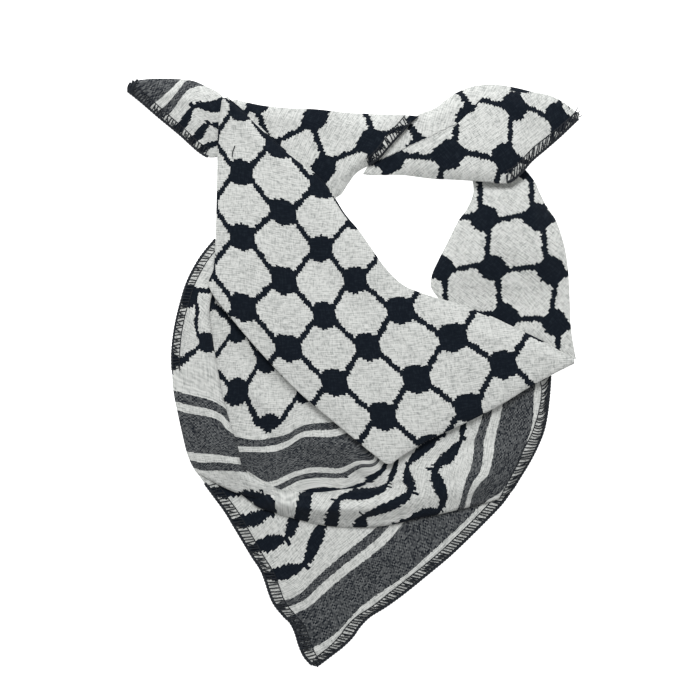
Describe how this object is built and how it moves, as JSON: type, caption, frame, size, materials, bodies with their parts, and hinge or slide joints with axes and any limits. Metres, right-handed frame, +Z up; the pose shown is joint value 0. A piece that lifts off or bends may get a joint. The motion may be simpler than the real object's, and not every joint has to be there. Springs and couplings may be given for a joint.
{
  "type": "bandana",
  "caption": "Small woven cotton keffiyeh bandana, knotted into a neck loop with two short tails and a pointed bib, laid flat on a surface.",
  "frame": {"origin": "on the surface the cloth lies on, under the middle of its outline box", "axes": "+X to the wearer's left as laid out, seen from above to the right; +Y from the bib's point up to the tails; +Z up from the surface"},
  "size_m": [0.253, 0.3301, 0.0125],
  "materials": {
    "woven_cotton": "matt",
    "overlock_thread": "matt"
  },
  "bodies": {
    "root": {"bib_point": "woven_cotton", "bib_drape": "woven_cotton", "front_band": "woven_cotton", "right_band": "woven_cotton", "top_band": "woven_cotton", "right_tail": "woven_cotton", "right_tail_flap": "woven_cotton", "left_tail": "woven_cotton"}
  },
  "joints": []
}
